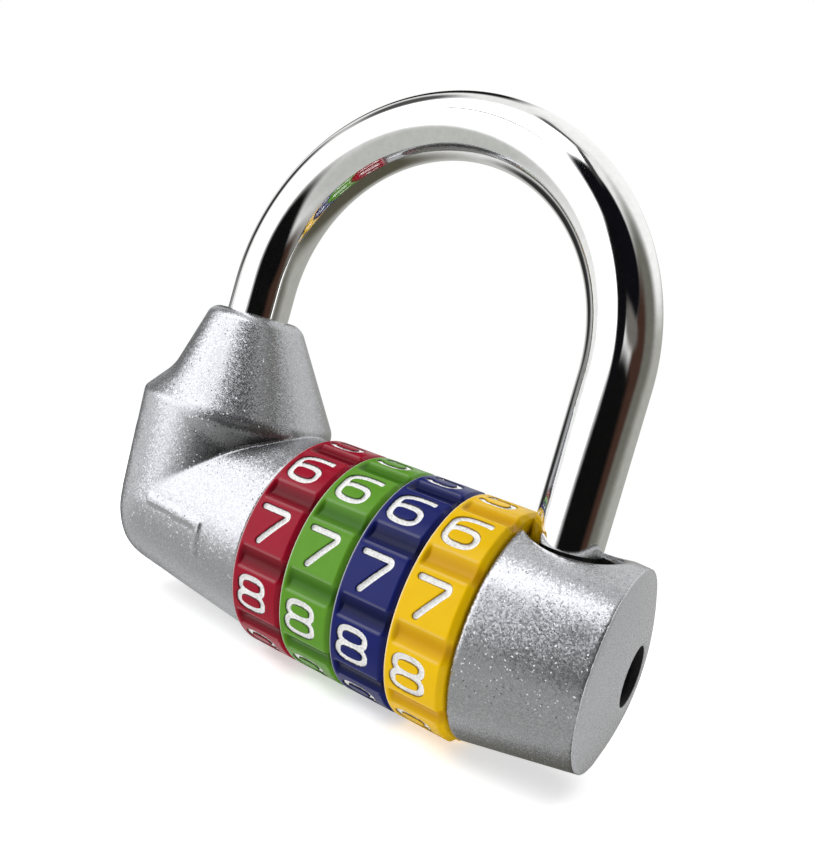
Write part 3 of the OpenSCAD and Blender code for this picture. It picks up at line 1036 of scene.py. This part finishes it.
@once
def steel(slot):
    """Machined or drawn steel, with fine marks along the part."""
    s = marked(slot + "_metal", (0.15, 3, 0.6), (0.30, 0.30, 0.31), (0.52, 0.52, 0.53), (0.25, 0.5))
    s.surface_is(Metallic=1.0)
    return s.material


@once
def brass():
    """Machined brass, a little dulled."""
    s = marked("hub_brass_metal", (0.2, 3, 0.6), (0.40, 0.27, 0.09), (0.62, 0.45, 0.18), (0.25, 0.5))
    s.surface_is(Metallic=1.0)
    return s.material


@once
def bore_shade():
    """Unpainted casting metal inside the bores, near-black as painted shade deep in them."""
    dark = (0.012, 0.012, 0.013)
    light = (0.035, 0.034, 0.033)
    s = marked("bore_shade_cast_metal", (0.4, 3, 0.6), dark, light, (0.5, 0.8))
    s.surface_is(Metallic=0.2, Specular_IOR_Level=0.3)
    return s.material


@once
def black_plastic():
    """Moulded black plastic with a fine grain."""
    s = marked("button_black_plastic", (0.3, 3), (0.010, 0.010, 0.011), (0.03, 0.03, 0.032), (0.4, 0.6))
    s.surface_is(Normal=s.bump(s.noise(0.3, 3), 0.2))
    return s.material


def paint_cad_nodes():
    """Gives the CAD nodes that stay in view, or in the gaps, their own material."""
    chosen = {
        "core_tube": steel("plain_steel"),
        "spindle": steel("plain_steel"),
        "retaining_pin": steel("plain_steel"),
        "tube_pin_left": steel("plain_steel"),
        "tube_pin_right": steel("plain_steel"),
        "detent_spring": steel("spring_steel"),
        "reset_plunger": black_plastic(),
    }
    chosen.update({"hub_" + colour: brass() for colour in COLOURS})
    for node, material in chosen.items():
        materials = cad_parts[node].data.materials
        materials.clear()
        materials.append(material)


# ---- camera, lights and floor ----

WHITE = (1, 1, 1, 1)


def add_camera():
    """Camera near the right-hand front, rolled so that the barrel runs down to the right."""
    data = bpy.data.cameras.new("camera")
    data.lens = 37.37
    data.sensor_width = 36
    data.sensor_fit = "HORIZONTAL"
    data.shift_x = -0.0437
    data.shift_y = -0.0205
    data.clip_start = 0.002
    data.clip_end = 20
    camera = bpy.data.objects.new("camera", data)
    bpy.context.scene.collection.objects.link(camera)
    camera.location = (0.05155, -0.08626, 0.03883)
    camera.rotation_euler = Euler([math.radians(a) for a in (86.97, -15.95, 28.64)])
    bpy.context.scene.camera = camera


def add_light(name, azimuth, elevation, distance, size, power):
    """Soft square light that looks at the lock; azimuth is turned from +X towards +Y."""
    a = math.radians(azimuth)
    e = math.radians(elevation)
    way = Vector((math.cos(a) * math.cos(e), math.sin(a) * math.cos(e), math.sin(e)))
    data = bpy.data.lights.new(name, "AREA")
    data.shape = "RECTANGLE"
    data.size = size
    data.size_y = size
    data.energy = power
    light = bpy.data.objects.new(name, data)
    bpy.context.scene.collection.objects.link(light)
    light.location = Vector((0.0, 0.0, 0.03)) + way * distance
    light.rotation_euler = way.to_track_quat("Z", "Y").to_euler()
    light.visible_glossy = False


def add_floor():
    """Pale round floor that fades out at its edge and doesn't show in gloss."""
    angles = np.linspace(0, 2 * math.pi, 64, endpoint=False)
    ring = [(2.0 * math.cos(a), 2.0 * math.sin(a), -0.0001) for a in angles]
    mesh = bpy.data.meshes.new("floor")
    mesh.from_pydata(ring, [], [tuple(range(len(ring)))])
    floor = bpy.data.objects.new("floor", mesh)
    bpy.context.scene.collection.objects.link(floor)
    s = Shader("pale_floor")
    s.surface_is(Base_Color=(0.8, 0.8, 0.8, 1), Roughness=0.9, Specular_IOR_Level=0.0)
    s.surface_is(Emission_Color=WHITE, Emission_Strength=0.55)
    distance = s.node("VectorMath", {0: s.place()}, operation="LENGTH").outputs["Value"]
    fade = s.mapped(distance, From_Min=0.05, From_Max=0.16)
    gone = s.maths("MAXIMUM", fade, s.node("LightPath").outputs["Is Glossy Ray"])
    clear = s.node("BsdfTransparent").outputs["BSDF"]
    join = s.node("MixShader", {0: gone, 1: s.surface.outputs["BSDF"], 2: clear})
    s.feed(s.tree.nodes["Material Output"].inputs["Surface"], join.outputs["Shader"])
    mesh.materials.append(s.material)


# Soft boxes and dark flags that gloss shows: middle and half size in degrees of azimuth (from
# +X towards +Y) and of height, softness of the edge, and colour. A later one covers the ones
# before it.
PANELS = [
    (-110, -60, 85, 45, 0.7, (0.52, 0.53, 0.51)),
    (55, -50, 75, 62, 0.8, (0.09, 0.085, 0.06)),
    (62, 0, 68, 22, 1.0, (0.42, 0.42, 0.39)),
    (-132, 28, 34, 46, 0.4, (2.3, 2.3, 2.35)),
    (-108, 62, 34, 14, 0.4, (3.2, 3.2, 3.25)),
    (78, 55, 52, 36, 0.5, (1.0, 1.0, 1.0)),
    (-4, 20, 36, 46, 0.8, (0.15, 0.15, 0.13)),
    (-26, 4, 20, 34, 0.7, (0.055, 0.028, 0.02)),
    (-65, 39, 36, 25, 0.25, (0.004, 0.004, 0.006)),
    (-64, -8, 38, 17, 0.4, (0.004, 0.004, 0.004)),
    (-54, 16, 20, 5, 0.8, (0.16, 0.15, 0.14)),
    (-86, 14, 13, 16, 0.3, (0.004, 0.004, 0.005)),
    (-122, 32, 16, 1.6, 0.6, (0.35, 0.35, 0.36)),
    (-72, 68, 9, 12, 0.6, (0.05, 0.05, 0.05)),
    (-120, 81, 70, 4, 0.8, (0.12, 0.12, 0.12)),
    (134, 34, 16, 24, 0.6, (0.01, 0.01, 0.01)),
    (150, -14, 18, 22, 0.8, (0.03, 0.03, 0.03)),
    (172, 14, 13, 16, 0.9, (0.03, 0.03, 0.03)),
    (178, 45, 18, 12, 0.9, (0.08, 0.08, 0.08)),
]
ROOM_COLOUR = (0.9, 0.9, 0.9)
DIFFUSE_STRENGTH = 0.36


def room_in_gloss(w):
    """Colour that a glossy ray meets: the room, and the panels over it."""
    split = w.node("SeparateXYZ", {0: w.node("TexCoord").outputs["Generated"]}).outputs
    azimuth = w.maths("DEGREES", w.maths("ARCTAN2", split["Y"], split["X"]))
    height = w.maths("DEGREES", w.maths("ARCSINE", split["Z"]))
    colour = opaque(ROOM_COLOUR)
    for middle, level, wide, tall, soft, shade in PANELS:
        turn = w.maths("WRAP", w.maths("SUBTRACT", azimuth, middle), 180, -180)
        across = w.maths("DIVIDE", turn, wide)
        up = w.maths("DIVIDE", w.maths("SUBTRACT", height, level), tall)
        reach = w.maths("SQRT", w.maths("ADD", w.maths("POWER", across, 2), w.maths("POWER", up, 2)))
        edges = {"Value": reach, "From Min": 1 + soft / 2, "From Max": 1 - soft / 2}
        inside = w.node("MapRange", edges, interpolation_type="SMOOTHSTEP").outputs[0]
        colour = w.mix(inside, colour, opaque(shade))
    return colour


def add_world():
    """Even pale light all round, with soft boxes and dark flags where gloss would show them."""
    world = bpy.data.worlds.new("studio")
    bpy.context.scene.world = world
    world.use_nodes = True
    world.node_tree.nodes.clear()
    w = Nodes(world.node_tree)
    studio = w.node("Background", {"Color": room_in_gloss(w), "Strength": 1.0}).outputs[0]
    diffuse = w.node("Background", {"Color": WHITE, "Strength": DIFFUSE_STRENGTH}).outputs[0]
    seen = w.node("Background", {"Color": WHITE, "Strength": 1.0}).outputs[0]
    path = w.node("LightPath").outputs
    unseen = w.node("MixShader", {0: path["Is Glossy Ray"], 1: diffuse, 2: studio}).outputs[0]
    join = w.node("MixShader", {0: path["Is Camera Ray"], 1: unseen, 2: seen}).outputs[0]
    w.feed(w.node("OutputWorld").inputs["Surface"], join)


add_camera()
add_world()
add_floor()
add_light("key", 225, 40, 0.45, 0.3, 2.0)
add_light("back", 60, 55, 0.5, 0.3, 1.2)
bpy.context.scene.view_settings.view_transform = "Standard"

make_castings()
make_end_cap()
for dial_colour, dial_turn in zip(COLOURS, DIAL_TURNS):
    make_dial(dial_colour, dial_turn)
make_shackle()
make_springs()
paint_cad_nodes()
